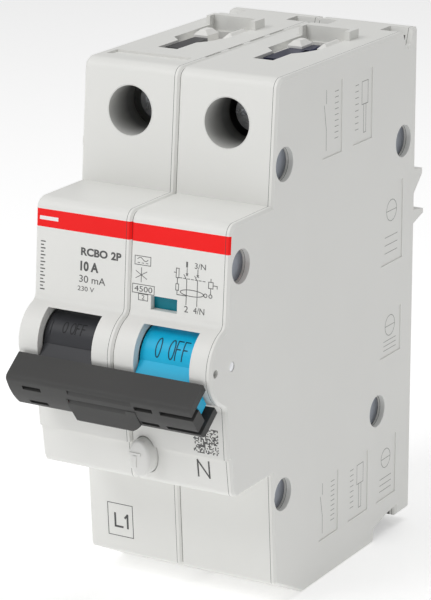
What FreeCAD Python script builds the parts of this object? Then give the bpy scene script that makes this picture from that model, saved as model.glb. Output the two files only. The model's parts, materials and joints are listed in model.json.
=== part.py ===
import FreeCAD, Part
import Sketcher
import math
import os
import re

# A plug-in residual current breaker, two modules of 18 mm.
# +X points right, +Z up, and the front faces -Y. The origin is on the flat rear face, midway
# between the modules and level with the middle of the 45 mm nose.

doc = FreeCAD.newDocument("ResidualCurrentDevice")
sizes = doc.addObject("Spreadsheet::Sheet", "sizes")

# Driving dimensions in millimetres and degrees.
driving = {
    # casing
    "half_width": 18, "pitch": 9, "cover": 0.9, "wall": 1.2, "edge": 0.4,
    "top": 42.44, "bottom": -47.15, "shoulder": 22.3, "nose_low": -22.8, "nose_step": -16,
    "upper_front": -50.76, "upper_lean": 1.76, "nose_front": -63.85, "nose_bulge": -65.05,
    "lower_front": -50.4, "lower_lean": 1.2, "step_depth": 0.55,
    "foot_rear": -13.65, "tab_low": -45, "tab_front": -5.1, "slot_roof": -43.3,
    # handles
    "pivot_y": -63.7, "pivot_z": -0.5, "bulge": 6.55, "drum": 4.9, "drum_gap": 0.15,
    "window_half": 5.1, "window_top": 5.25, "window_low": -6.3, "rest_angle": 37, "throw": 74,
    "lever_half": 2.1, "lever_top": 3.45, "lever_taper": 2.4, "lever_reach": 9.4,
    "crank": 3.31, "link_room": 3.4, "pin": 0.75, "running": 0.05,
    "bar_half": 17.1, "bar_front": 12.1, "bar_back": 6.5, "bar_thick": 3.65, "slab": 1.35,
    # terminals
    "screw_z": 34.64, "screw_hole": 4.08, "tunnel_end": -41.8, "screw_shank": 2.5,
    "screw_head": 3.0, "head_front": -41.5, "head_back": -39, "cage_half": 4.3,
    "cage_front": -30.4, "cage_rear": -14.0, "cage_low": 30.3, "cage_high": 39.0,
    "cage_wall": 1.1, "cage_travel": 5, "bar_y": -21.8, "strip": 1.2,
    # wire openings in the top face
    "open_left": -4.65, "open_right": 3.65, "open_front": -30, "open_rear": -14.7,
    "slot_left": -2.7, "slot_right": 1.0, "slot_front": -36.5, "guard": 44.0,
    "dome_top": 43.2, "stop_low": 41.25, "stop_high": 42.05,
    # contacts
    "hinge_y": -43, "hinge_z": -0.83, "hinge_pin": 0.9, "link_eye_y": -51, "link_eye_z": 0.165,
    "arm_half": 2.5, "contact_z": -20.5, "fixed_face": -37.6,
    # trips
    "coil_z": -5.5, "coil_radius": 4.3, "yoke_front": -33.5, "yoke_rear": -17.5,
    "plunger": 1.5, "plunger_tip": -37.2, "trip_y": -39.5, "trip_z": 6.5,
    "ring_y": -25, "ring_z": -3, "ring_outer": 7, "ring_inner": 3.6,
    # test button and fault flag
    "button_x": 2.35, "button_z": -17.7, "button_half_x": 2.0, "button_half_z": 3.2,
    "button_front": -66.5, "button_travel": 1.6,
    "flag_left": 4.0, "flag_right": 8.8, "flag_low": 7.1, "flag_high": 9.35,
    # rivets
    "rivet": 1.1, "rivet_head": 2.6, "recess": 2.83, "recess_depth": 1.9, "head_thick": 0.7,
}

for row, (name, value) in enumerate(driving.items(), start=1):
    sizes.set(f"A{row}", name)
    sizes.set(f"B{row}", str(value))
    sizes.setAlias(f"B{row}", name)
doc.recompute()

words = re.compile(r"[a-z][a-z_]*")


def bound(text):
    """The expression with each dimension's name pointing at its cell."""
    return words.sub(lambda m: "sizes." + m.group() if m.group() in driving else m.group(), str(text))


def number(text):
    """The value that an expression has now."""
    value = sizes.evalExpression(str(text))
    return float(getattr(value, "Value", value))


def drive(target, prop, text):
    target.setExpression(prop, bound(text))


# Flat axes of each plane's sketch, and the way its normal points.
plane_roles = {"x": "YZ_Plane", "y": "XZ_Plane", "z": "XY_Plane"}


def sketch_on(body, axis, level, loops):
    """A sketch square to an axis at a level.

    A loop is a list of points, ("circle", u, v, radius) or ("ellipse", u, v, half_width, half_height).
    """
    planes = {feature.Role: feature for feature in body.Origin.OriginFeatures}
    sketch = body.newObject("Sketcher::SketchObject", body.Label + "_sketch")
    sketch.AttachmentSupport = (planes[plane_roles[axis]], [""])
    sketch.MapMode = "FlatFace"
    drive(sketch, "AttachmentOffset.Base.z", f"-({level})" if axis == "y" else level)
    for loop in loops:
        if loop[0] == "circle":
            add_circle(sketch, *loop[1:])
        elif loop[0] == "ellipse":
            add_ellipse(sketch, *loop[1:])
        else:
            add_polygon(sketch, loop)
    return sketch


def pin_down(sketch, geometry, point, u, v):
    for kind, text in (("DistanceX", u), ("DistanceY", v)):
        index = sketch.addConstraint(Sketcher.Constraint(kind, -1, 1, geometry, point, number(text)))
        drive(sketch, f"Constraints[{index}]", text)


def add_circle(sketch, u, v, radius):
    centre = FreeCAD.Vector(number(u), number(v), 0)
    circle = Part.Circle(centre, FreeCAD.Vector(0, 0, 1), number(radius))
    geometry = sketch.addGeometry(circle, False)
    pin_down(sketch, geometry, 3, u, v)
    index = sketch.addConstraint(Sketcher.Constraint("Radius", geometry, number(radius)))
    drive(sketch, f"Constraints[{index}]", radius)


def add_ellipse(sketch, u, v, half_width, half_height):
    """An upright ellipse: its centre follows the sheet, its half sizes are read from it."""
    centre = FreeCAD.Vector(number(u), number(v), 0)
    top = centre + FreeCAD.Vector(0, number(half_height), 0)
    side = centre + FreeCAD.Vector(number(half_width), 0, 0)
    geometry = sketch.addGeometry(Part.Ellipse(top, side, centre), False)
    pin_down(sketch, geometry, 3, u, v)


def add_polygon(sketch, points):
    corners = [FreeCAD.Vector(number(u), number(v), 0) for u, v in points]
    first = sketch.GeometryCount
    for start, end in zip(corners, corners[1:] + corners[:1]):
        sketch.addGeometry(Part.LineSegment(start, end), False)
    for index, (u, v) in enumerate(points):
        following = first + (index + 1) % len(points)
        sketch.addConstraint(Sketcher.Constraint("Coincident", first + index, 2, following, 1))
        pin_down(sketch, first + index, 1, u, v)


def rectangle(left, right, low, high):
    return [(left, low), (right, low), (right, high), (left, high)]


def new_body(label):
    body = doc.addObject("PartDesign::Body", label)
    body.Label = label
    return body


def pad(body, axis, low, high, *loops):
    """Add material between two levels along an axis."""
    sketch = sketch_on(body, axis, high if axis == "y" else low, loops)
    feature = body.newObject("PartDesign::Pad", body.Label + "_pad")
    feature.Profile = sketch
    drive(feature, "Length", f"({high}) - ({low})")
    doc.recompute()
    return feature


def pocket(body, axis, low, high, *loops):
    """Take material away between two levels along an axis, and make sure that it went."""
    before = body.Shape.Volume
    sketch = sketch_on(body, axis, low if axis == "y" else high, loops)
    feature = body.newObject("PartDesign::Pocket", body.Label + "_pocket")
    feature.Profile = sketch
    drive(feature, "Length", f"({high}) - ({low})")
    doc.recompute()
    if body.Shape.Volume >= before - 1e-6:
        raise RuntimeError(f"{body.Label}: a pocket cuts nothing")
    return feature


def edges_where(shape, test):
    return [f"Edge{index}" for index, edge in enumerate(shape.Edges, start=1) if test(edge)]


def straight_along(edge, axis):
    start, end = edge.Vertexes[0].Point, edge.Vertexes[-1].Point
    along = {"x": 0, "y": 1, "z": 2}[axis]
    return all(abs(start[k] - end[k]) < 1e-4 for k in range(3) if k != along)


def edge_at(shape, axis, u, v, reach=0.25):
    """Edges along an axis that pass by the point (u, v) of the other two axes."""
    flat = [k for k in range(3) if k != {"x": 0, "y": 1, "z": 2}[axis]]
    place = (number(u), number(v))

    def near(edge):
        point = edge.Vertexes[0].Point
        offset = math.hypot(point[flat[0]] - place[0], point[flat[1]] - place[1])
        return straight_along(edge, axis) and offset < reach
    return edges_where(shape, near)


def dress(body, kind, edges, size):
    """A fillet or chamfer on the body's last feature."""
    base = body.Tip
    feature = body.newObject("PartDesign::" + kind, body.Label + "_" + kind.lower())
    feature.Base = (base, edges)
    drive(feature, "Radius" if kind == "Fillet" else "Size", size)
    doc.recompute()
    return feature


def block(label, x, y, z):
    """A box between two levels on each axis."""
    piece = doc.addObject("Part::Box", label)
    for name, prop, (low, high) in (("x", "Length", x), ("y", "Width", y), ("z", "Height", z)):
        drive(piece, prop, f"({high}) - ({low})")
        drive(piece, f"Placement.Base.{name}", low)
    return piece


turns = {
    "x": FreeCAD.Rotation(FreeCAD.Vector(0, 1, 0), 90),
    "y": FreeCAD.Rotation(FreeCAD.Vector(1, 0, 0), -90),
    "z": FreeCAD.Rotation(),
}


def rod(label, axis, low, high, u, v, radius):
    """A cylinder along an axis between two levels, through (u, v) of the other two axes."""
    piece = doc.addObject("Part::Cylinder", label)
    drive(piece, "Radius", radius)
    drive(piece, "Height", f"({high}) - ({low})")
    piece.Placement = FreeCAD.Placement(FreeCAD.Vector(), turns[axis])
    others = [name for name in "xyz" if name != axis]
    for name, text in ((axis, low), (others[0], u), (others[1], v)):
        drive(piece, f"Placement.Base.{name}", text)
    return piece


def joined(label, *pieces):
    result = doc.addObject("Part::MultiFuse", label)
    result.Shapes = list(pieces)
    result.Refine = True
    return result


def carved(label, base, *tools):
    result = doc.addObject("Part::Cut", label)
    result.Base = base
    result.Tool = tools[0] if len(tools) == 1 else joined(label + "_tools", *tools)
    result.Refine = True
    return result


def gathered(label, *pieces):
    """Separate solids that are one node, such as a set of like pieces."""
    result = doc.addObject("Part::Compound", label)
    result.Links = list(pieces)
    return result


finished = []


def keep(piece, label=None):
    """Hand a piece in under its label."""
    if label:
        piece.Label = label
    finished.append(piece)
    return piece

# ---- casing -------------------------------------------------------------------------------

rivet_points = [(-46.99, 28.44), (-4.81, 23.43), (-60.89, 15.12), (-46.94, -27.22), (-13.16, -22.96)]
left_centre = "-pitch"
right_centre = "pitch"


def outer_outline():
    """The side view of the casing in Y and Z: upper block, nose, lower block and foot."""
    return [
        ("upper_front + upper_lean", "top"), ("0", "top"), ("0", "tab_low"), ("tab_front", "tab_low"),
        ("tab_front", "slot_roof"), ("tab_front - 3.4", "slot_roof - 0.35"),
        ("foot_rear", "slot_roof - 1.6"), ("foot_rear", "bottom"), ("-39.75", "bottom"),
        ("lower_front + lower_lean", "bottom + 4.8"), ("lower_front", "nose_low"),
        ("nose_front + 0.75", "nose_low"), ("nose_front - 0.2", "nose_step"),
        ("nose_front - 0.2 - step_depth", "nose_step"), ("nose_bulge - 0.25", "-8"),
        ("nose_bulge", "7"), ("nose_front", "shoulder"), ("upper_front", "shoulder"),
    ]


def inner_outline():
    """The hollow inside, one wall in from the outline, with solid corners at the rear."""
    return [
        ("upper_front + upper_lean + wall", "top - wall"), ("-7.3", "top - wall"), ("-7.3", "37.8"),
        ("-wall", "37.8"), ("-wall", "slot_roof + wall"), ("foot_rear - wall", "slot_roof + wall"),
        ("foot_rear - wall", "bottom + wall"), ("-39.4", "bottom + wall"),
        ("lower_front + lower_lean + wall", "bottom + 5.4"), ("lower_front + wall", "nose_low + wall"),
        ("nose_front + 0.75 + wall", "nose_low + wall"), ("nose_front + wall - 0.2", "nose_step - 0.2"),
        ("nose_front + wall - 0.7", "nose_step + 0.6"), ("nose_bulge + wall - 0.15", "-8"),
        ("nose_bulge + wall", "7"), ("nose_front + wall", "shoulder - wall"),
        ("upper_front + wall", "shoulder - wall"),
    ]


def outside(label, low, high, side):
    """The casing's whole outside between two levels, with its outer side's edges broken."""
    body = new_body(label)
    pad(body, "x", low, high, outer_outline())
    pad(body, "x", low, high, ["circle", "pivot_y", "pivot_z", "bulge"])
    corners = [("upper_front + upper_lean", "top"), ("nose_front", "shoulder")]
    blends = [("nose_bulge - 0.1", "pivot_z + 6.4"), ("nose_bulge - 0.2", "pivot_z - 6.35"),
              ("nose_front + 0.75", "nose_low")]
    feet = [("foot_rear", "bottom"), ("-39.75", "bottom"), ("lower_front + lower_lean", "bottom + 4.8"),
            ("0", "tab_low")]
    for places, radius in ((corners, 1.9), (blends, 1.4), (feet, 0.6)):
        edges = [name for u, v in places for name in edge_at(body.Shape, "x", u, v, 0.5)]
        dress(body, "Fillet", edges, radius)
    rims = edges_where(body.Shape, lambda e: all(abs(v.Point.x - number(side)) < 1e-4 for v in e.Vertexes)
                       and abs(e.CenterOfMass.x - number(side)) < 1e-4)
    dress(body, "Chamfer", rims, "edge")
    return body


def rear_notch(body, left, right):
    """A U-shaped notch in the rear of the top face."""
    pocket(body, "x", left, right, [("-5.88", "top + 0.5"), ("-4.6", "39.9"), ("-3.55", "39.1"),
                                    ("-2.55", "39.9"), ("-1.55", "top + 0.5")])


def rivet_circles(radius):
    return [["circle", str(y), str(z), radius] for y, z in rivet_points]


def wire_opening(body, centre):
    """The opening for a wire and the raised guard round its rear end."""
    guard = [("open_left - 0.7", "open_rear - 1.4"), ("open_left", "open_rear - 1.4"),
             ("open_left", "open_rear"), ("open_right", "open_rear"), ("open_right", "open_rear - 2"),
             ("open_right + 0.9", "open_rear - 2"), ("open_right + 0.9", "open_rear + 1.3"),
             ("open_left - 0.7", "open_rear + 1.3")]
    opening = [("slot_left", "slot_front"), ("slot_right", "slot_front"), ("slot_right", "open_front - 0.4"),
               ("open_right - 1.4", "open_front + 1.4"), ("open_right", "open_front + 5"),
               ("open_right", "open_rear"), ("open_left", "open_rear"), ("open_left", "open_front + 2"),
               ("slot_left", "open_front")]
    pad(body, "z", "top - 0.6", "guard", [(f"{centre} + {u}", v) for u, v in guard])
    pocket(body, "z", "top - wall - 0.5", "guard + 1", [(f"{centre} + {u}", v) for u, v in opening])


def case(label, low, high, side, centre, hollow_low, hollow_high):
    """One module's deep shell, open on one side."""
    body = outside(label, low, high, side)
    pocket(body, "x", hollow_low, hollow_high, inner_outline())
    pocket(body, "x", hollow_low, hollow_high, ["circle", "pivot_y", "pivot_z", "drum + drum_gap"])
    pad(body, "x", low, high, *rivet_circles("1.9"))
    pad(body, "y", "-49.3", "tunnel_end", ["circle", centre, "screw_z", "screw_hole + 0.8"])
    pocket(body, "y", "-53", "tunnel_end + 0.1", ["circle", centre, "screw_z", "screw_hole"])
    pocket(body, "y", "-72", "-64.3",
           rectangle(f"{centre} - window_half", f"{centre} + window_half", "window_low", "window_top"))
    wire_opening(body, centre)
    return body


def seat_rivets(body, floor_low, floor_high, seat_low, seat_high):
    """Wider bosses at the rivets' ends, sunk for their heads, and holes for their shanks."""
    pad(body, "x", floor_low, floor_high, *rivet_circles("3.0"))
    pocket(body, "x", seat_low, seat_high, *rivet_circles("recess"))
    pocket(body, "x", "-half_width", "half_width", *rivet_circles("rivet + running"))


def rear_hooks(body, left, right):
    """Two snap hooks that hold the device on its socket rail."""
    pad(body, "x", left, right, [("-0.6", "17.0"), ("5.2", "16.4"), ("5.2", "15.4"), ("0", "10.5"),
                                 ("-0.6", "10.5")])
    pad(body, "x", left, right, [("-0.6", "9.9"), ("5.9", "8.95"), ("5.9", "8.15"), ("0", "6.4"),
                                 ("-0.6", "6.4")])


def plug_window(body, centre):
    pocket(body, "y", "-wall - 0.1", "0.1", rectangle(f"{centre} - 2.4", f"{centre} + 2.4", "-14", "-5"))


def latch_room(body, left, right, low="tab_low + 0.5"):
    """A way through the rear tab for the latch slider."""
    pocket(body, "y", "-13", "0.1", rectangle(left, right, low, "slot_roof - 0.05"))


left_case = case("left_case", "-half_width", "-cover", "-half_width", left_centre,
                 "-half_width + wall", "-cover")
seat_rivets(left_case, "-half_width", "-15", "-half_width", "-half_width + recess_depth")
rear_hooks(left_case, "-16.8", "-13.8")
plug_window(left_case, left_centre)
rear_notch(left_case, "-half_width", "-14.7")
rear_notch(left_case, "-4.5", "-cover")
latch_room(left_case, "-6.3", "-cover")
pocket(left_case, "z", "top - 0.4", "top + 0.2", rectangle("-16.5", "-2.2", "-44.7", "-41.4"))
keep(left_case)

left_cover = outside("left_cover", "-cover", "0", "0")
pocket(left_cover, "x", "-cover", "0", *rivet_circles("rivet + running"))
pocket(left_cover, "x", "-cover", "0", ["circle", "pivot_y", "pivot_z", "pin + running"])
pocket(left_cover, "x", "-cover", "0", ["circle", "ring_y", "ring_z", "2.0"])
rear_notch(left_cover, "-cover", "0")
latch_room(left_cover, "-cover", "0", "tab_low - 0.1")
pocket(left_cover, "z", "top - 0.9", "top + 0.1",
       *[rectangle("-cover + 0.05", "-0.42", str(front), str(front + 5)) for front in (-39.8, -32.4, -25.2, -18.5)])
keep(left_cover)

right_case = case("right_case", "0", "half_width - cover", "0", right_centre,
                  "wall", "half_width - cover")
seat_rivets(right_case, "15", "half_width - cover", "half_width - recess_depth", "half_width - cover")
rear_hooks(right_case, "13.8", "16.8")
plug_window(right_case, right_centre)
rear_notch(right_case, "0", "3.6")
rear_notch(right_case, "13.6", "half_width - cover")
latch_room(right_case, "0", "6.3")
pocket(right_case, "x", "0", "wall", ["circle", "pivot_y", "pivot_z", "pin + running"])
pocket(right_case, "x", "0", "wall", ["circle", "ring_y", "ring_z", "2.0"])
pocket(right_case, "y", "-67", "-63.2", rectangle("flag_left", "flag_right", "flag_low", "flag_high"))
pocket(right_case, "y", "-67", "-62",
       ["ellipse", "button_x", "button_z", "button_half_x + 0.12", "button_half_z + 0.12"])
pocket(right_case, "y", "-62.6", "-56", rectangle("0", "wall + 0.1", "button_z - 3.5", "button_z + 3.5"))
pocket(right_case, "y", "-63.9", "-62", rectangle("flag_left - 0.8", "flag_right + 0.8", "5.9", "14.2"))
keep(right_case)

right_cover = outside("right_cover", "half_width - cover", "half_width", "half_width")
pocket(right_cover, "x", "half_width - cover", "half_width", *rivet_circles("recess"))
pocket(right_cover, "x", "half_width - cover", "half_width", ["circle", "pivot_y", "pivot_z", "pin + running"])
pocket(right_cover, "x", "half_width - cover", "half_width", ["circle", "-68.8", "-0.25", "0.7"])
rear_notch(right_cover, "half_width - cover", "half_width")
side_frames = [(-34.2, -27.5, 26.4, 38.6), (-23.5, -16.7, 26.5, 38.6), (-12.5, -4.65, 2.8, 16.85),
               (-12.3, -4.7, -13.9, -5.8), (-34.3, -27.45, -40, -29.1), (-23.7, -16.45, -40, -29),
               (-12.9, -5.7, -40.1, -29)]
pocket(right_cover, "x", "half_width - 0.15", "half_width",
       *[rectangle(*map(str, frame)) for frame in side_frames])
keep(right_cover)

# ---- rivets: shank and a flat head at both ends --------------------------------------------

rivet_solids = []
for index, (y, z) in enumerate(rivet_points, start=1):
    shank = rod(f"rivet_{index}_shank", "x", "-half_width + recess_depth", "half_width - recess_depth",
                y, z, "rivet")
    heads = [rod(f"rivet_{index}_left", "x", "-half_width + recess_depth - head_thick",
                 "-half_width + recess_depth", y, z, "rivet_head"),
             rod(f"rivet_{index}_right", "x", "half_width - recess_depth",
                 "half_width - recess_depth + head_thick", y, z, "rivet_head")]
    rivet_solids.append(joined(f"rivet_{index}", shank, *heads))
keep(gathered("rivets", *rivet_solids))

# ---- terminals: screw, lifting cage, fixed bar and the plastic wire guide -------------------


def terminal(prefix, centre):
    head = rod(prefix + "_head", "y", "head_front", "head_back", centre, "screw_z", "screw_head")
    shank = rod(prefix + "_shank", "y", "head_back", "bar_y - 0.2", centre, "screw_z", "screw_shank")
    cross = [block(prefix + "_cross_a", (f"{centre} - 0.45", f"{centre} + 0.45"),
                   ("head_front - 1", "head_front + 1.3"), ("screw_z - 2", "screw_z + 2")),
             block(prefix + "_cross_b", (f"{centre} - 2", f"{centre} + 2"),
                   ("head_front - 1", "head_front + 1.3"), ("screw_z - 0.45", "screw_z + 0.45"))]
    solid = joined(prefix + "_screw_blank", head, shank)
    keep(carved(prefix + "_terminal_screw", solid, *cross))

    cage = new_body(prefix + "_terminal_cage")
    pad(cage, "z", "cage_low", "cage_high",
        rectangle(f"{centre} - cage_half", f"{centre} + cage_half", "cage_front", "cage_rear"))
    edges = [name for x in ("- cage_half", "+ cage_half") for y in ("cage_front", "cage_rear")
             for name in edge_at(cage.Shape, "z", f"{centre} {x}", y)]
    dress(cage, "Fillet", edges, "cage_wall")
    pocket(cage, "z", "cage_low", "cage_high",
           rectangle(f"{centre} - cage_half + cage_wall", f"{centre} + cage_half - cage_wall",
                     "cage_front + cage_wall", "cage_rear - cage_wall"))
    pocket(cage, "y", "cage_front - 0.1", "cage_front + cage_wall + 0.1",
           ["circle", centre, "screw_z", "screw_shank + running"])
    pad(cage, "z", "cage_high", "cage_high + 1.2",
        rectangle(f"{centre} - 2.6", f"{centre} - 0.1", "cage_front - 5.1", "cage_front + 3.4"))
    keep(cage)

    guide = new_body(prefix + "_wire_guide")
    pad(guide, "z", "39.3", "top - wall",
        rectangle(f"{centre} - 5.4", f"{centre} + 4.4", "-26.4", "-13.9"))
    pad(guide, "z", "top - wall - 0.2", "dome_top",
        rectangle(f"{centre} - 2.9", f"{centre} - 0.2", "-24.6", "-20.8"))
    pad(guide, "z", "top - wall - 0.2", "42.6",
        rectangle(f"{centre} + 1.5", f"{centre} + 3.45", "-22.5", "-16.4"))
    rims = edges_where(guide.Shape, lambda e: all(v.Point.z > 42.5 for v in e.Vertexes))
    dress(guide, "Chamfer", rims, "0.8")
    pocket(guide, "z", "39.2", "42.7", rectangle(f"{centre} - 4.1", f"{centre} + 1.2", "-20.5", "-15"))
    keep(guide)


terminal("left", left_centre)
terminal("right", right_centre)
keep(block("left_wire_stop", (f"{left_centre} - 2.6", f"{left_centre} - 0.1"), ("-34.2", "-24.7"),
           ("stop_low", "stop_high")))
keep(joined("right_wire_stop",
            block("right_stop_front", (f"{right_centre} - 2.4", f"{right_centre} + 0.8"), ("-33.6", "-24.7"),
                  ("stop_low", "stop_high")),
            block("right_stop_side", (f"{right_centre} - 0.1", f"{right_centre} + 1.4"), ("-25", "-20.6"),
                  ("stop_low", "stop_high"))))
keep(gathered("terminal_bars",
              *[block(f"terminal_bar_{index}", (f"{centre} - 2.9", f"{centre} + 2.9"),
                      ("bar_y", "bar_y + strip"), ("24", "38.5"))
                for index, centre in enumerate((left_centre, right_centre))]))

# ---- handles: modelled with the lever level, then turned down to the off position ----------


def turn_to_rest(piece):
    piece.Placement = FreeCAD.Placement(FreeCAD.Vector(), FreeCAD.Rotation(FreeCAD.Vector(1, 0, 0), 1))
    drive(piece, "Placement.Base.y", "pivot_y")
    drive(piece, "Placement.Base.z", "pivot_z")
    drive(piece, "Placement.Rotation.Angle", "rest_angle")


def toggle(label, centre):
    body = new_body(label)
    drum_half = "(window_half - 0.2)"
    pad(body, "x", f"{centre} - {drum_half}", f"{centre} + {drum_half}", ["circle", "0", "0", "drum"])
    pad(body, "x", f"{centre} - {drum_half}", f"{centre} + {drum_half}",
        [("0", "-lever_half"), ("-lever_reach", "-lever_half"), ("-lever_reach", "lever_half"),
         ("0.05 - bar_back", "lever_half"), ("0.05 - bar_back", "lever_taper"), ("-3", "lever_top"),
         ("0", "lever_top")])
    pad(body, "x", centre, f"{centre} + 7.2", rectangle("-9", "-6.9", "-1.1", "1.1"))
    pocket(body, "x", f"{centre} - 1.3", f"{centre} + 1.3", rectangle("1.5", "6", "-link_room", "link_room"))
    pad(body, "x", f"{centre} - 1.4", f"{centre} + 1.4", ["circle", "crank", "0", "0.45"])
    pocket(body, "x", f"{centre} - 8", f"{centre} + 8", ["circle", "0", "0", "pin + running"])
    turn_to_rest(body)
    return keep(body)


toggle("line_toggle", left_centre)
toggle("neutral_toggle", right_centre)

tie_bar = new_body("tie_bar")
pad(tie_bar, "x", "-bar_half", "bar_half", ["circle", "0", "0", "bar_front"])
pocket(tie_bar, "x", "-bar_half", "bar_half",
       [("-14", "bar_thick"), ("-bar_back", "bar_thick"), ("-bar_back", "-bar_thick"),
        ("-14", "-bar_thick"), ("-14", "-14"), ("14", "-14"), ("14", "14"), ("-14", "14")])
front_edges = edges_where(tie_bar.Shape, lambda e: straight_along(e, "x") and e.Vertexes[0].Point.y < -11)
dress(tie_bar, "Fillet", front_edges, "0.9")
tongue = ("-1.35", "1.45")
groove_top = ("1.45", "bar_thick - slab")
groove_low = ("-bar_thick + slab", "-1.35")
pocket(tie_bar, "x", "-bar_half", "bar_half",
       rectangle("-9.75", "-bar_back + 0.5", "-bar_thick + slab", "bar_thick - slab"))
for groove in (groove_top, groove_low):
    pocket(tie_bar, "x", "-bar_half", "bar_half", rectangle("-11.1", "-9.7", *groove))
    for slot in (("-14.4", "-10.9"), ("6.5", "9.8"), ("11.2", "bar_half + 0.1")):
        pocket(tie_bar, "y", "-13", "-11", rectangle(*slot, *groove))
# the thumb tab: an outline with a rounded foot, sloping outwards, its two ends splayed back
pad(tie_bar, "y", "-13.1", "-11.3",
    [("-6.3", "1.0"), ("-6.35", "-2.4"), ("-6.0", "-3.05"), ("-5.3", "-3.6"), ("-4.5", "-3.9"), ("3.6", "-3.9"),
     ("4.6", "-3.65"), ("5.5", "-3.2"), ("6.3", "-2.5"), ("6.45", "1.0")])
pocket(tie_bar, "x", "-7", "7",
       [("-13.4", "1.3"), ("-12.2", "1.3"), ("-12.2", "0.9"), ("-12.7", "-1.6"), ("-12.95", "-3.1"),
        ("-12.75", "-3.6"), ("-12.3", "-3.95"), ("-12.3", "-4.3"), ("-13.4", "-4.3")])
pocket(tie_bar, "z", "-4.5", "1.2", [("-6.5", "-12.14"), ("-5.1", "-13.3"), ("-6.5", "-13.3")],
       [("6.6", "-12.14"), ("3.0", "-13.3"), ("6.6", "-13.3")])
pocket(tie_bar, "x", "-5.7", "6.1", [("-12.4", "3.05"), ("-11.35", "3.0"), ("-12.15", "1.75"), ("-12.4", "1.75")])
pocket(tie_bar, "x", "-6", "4.6", [("-12.5", "1.15"), ("-11.6", "1.1"), ("-12.35", "0.25"), ("-12.5", "0.25")])
turn_to_rest(tie_bar)
keep(tie_bar)

keep(rod("toggle_pin", "x", "-half_width + wall", "half_width - 0.1", "pivot_y", "pivot_z", "pin"))


def coil_spring(label, axis, low, high, u, v, radius, wire, pitch):
    """A helix of round wire along an axis between two levels."""
    others = [name for name in "xyz" if name != axis]
    spots = {axis: number(low), others[0]: number(u), others[1]: number(v)}
    place = FreeCAD.Placement(FreeCAD.Vector(*(spots[name] for name in "xyz")), turns[axis])
    helix = doc.addObject("Part::Helix", label + "_path")
    drive(helix, "Pitch", pitch)
    drive(helix, "Height", f"({high}) - ({low})")
    drive(helix, "Radius", radius)
    helix.SegmentLength = 1
    helix.Placement = place
    doc.recompute()
    section = doc.addObject("Part::Circle", label + "_wire")
    drive(section, "Radius", wire)
    start = FreeCAD.Placement(FreeCAD.Vector(number(radius), 0, 0),
                              FreeCAD.Rotation(FreeCAD.Vector(1, 0, 0), 90))
    section.Placement = place.multiply(start)
    sweep = doc.addObject("Part::Sweep", label)
    sweep.Sections = [section]
    sweep.Spine = (helix, [f"Edge{turn + 1}" for turn in range(len(helix.Shape.Edges))])
    sweep.Solid = True
    sweep.Frenet = True
    return sweep


keep(gathered("toggle_springs",
              *[coil_spring(f"toggle_spring_{index}", "x", f"{centre} + 5.4", f"{centre} + 7.3",
                            "pivot_y", "pivot_z", "1.9", "0.22", "0.95")
                for index, centre in enumerate((left_centre, right_centre))]))

# ---- switching: link, carrier, contacts, one set for each pole -----------------------------

crank_y = "(pivot_y + crank * cos(rest_angle))"
crank_z = "(pivot_z + crank * sin(rest_angle))"


def switch_gear(prefix, centre, strap_end):
    link = new_body(prefix + "_link")
    width = (f"{centre} - 0.8", f"{centre} + 0.8")
    pad(link, "x", *width, [(crank_y, f"{crank_z} - 0.7"), ("link_eye_y", "link_eye_z - 0.6"),
                            ("link_eye_y", "link_eye_z + 0.6"), (crank_y, f"{crank_z} + 0.7")])
    pad(link, "x", *width, ["circle", crank_y, crank_z, "1.15"])
    pad(link, "x", f"{centre} - 2.4", f"{centre} + 2.4", ["circle", "link_eye_y", "link_eye_z", "0.5"])
    pocket(link, "x", *width, ["circle", crank_y, crank_z, "0.5"])
    keep(link)

    carrier = new_body(prefix + "_contact_carrier")
    width = (f"{centre} - 3", f"{centre} + 3")
    pad(carrier, "x", *width, ["circle", "hinge_y", "hinge_z", "2.3"])
    pad(carrier, "x", *width, [("link_eye_y - 1.9", "link_eye_z - 1.4"), ("hinge_y", "hinge_z - 1.6"),
                               ("hinge_y", "hinge_z + 2.2"), ("link_eye_y - 1.9", "link_eye_z + 1.4")])
    pocket(carrier, "x", f"{centre} - 1.1", f"{centre} + 1.1", rectangle("-55", "hinge_y - 3.2", "-4", "4"))
    pocket(carrier, "x", *width, rectangle("link_eye_y - 0.65", "link_eye_y + 1.5",
                                           "link_eye_z - 0.65", "link_eye_z + 0.65"))
    pocket(carrier, "x", *width, rectangle("hinge_y - 2", "hinge_y + 2.4", "-4", "hinge_z - 2.07"))
    pocket(carrier, "x", *width, ["circle", "hinge_y", "hinge_z", "hinge_pin + running"])
    keep(carrier)

    keep(block(prefix + "_contact_arm", (f"{centre} - arm_half", f"{centre} + arm_half"),
               ("hinge_y - 0.6", "hinge_y + 0.6"), ("contact_z - 1.7", "hinge_z - 2.07")))
    keep(block(prefix + "_moving_contact", (f"{centre} - 2", f"{centre} + 2"),
               ("hinge_y + 0.6", "hinge_y + 1.7"), ("contact_z - 1.3", "contact_z + 1.3")))
    upright = block(prefix + "_bracket_upright", (f"{centre} - arm_half", f"{centre} + arm_half"),
                    ("fixed_face + 1", "fixed_face + 1 + strip"), ("contact_z - 3.5", "-11.2"))
    foot = block(prefix + "_bracket_foot", (f"{centre} - arm_half", f"{centre} + arm_half"),
                 ("fixed_face + 1", strap_end), ("-11.2 - strip", "-11.2"))
    keep(joined(prefix + "_contact_bracket", upright, foot))

    base = block(prefix + "_jaw_base", (f"{centre} - 2", f"{centre} + 2"), ("-9", "-6.8"), ("-13", "-6"))
    jaws = [block(prefix + "_jaw_a", (f"{centre} - 2", f"{centre} - 0.9"), ("-6.8", "-0.3"), ("-13", "-6")),
            block(prefix + "_jaw_b", (f"{centre} + 0.9", f"{centre} + 2"), ("-6.8", "-0.3"), ("-13", "-6"))]
    keep(joined(prefix + "_plug_contact", base, *jaws))


switch_gear("line", left_centre, "yoke_front + 3")
switch_gear("neutral", right_centre, "-9")

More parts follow.
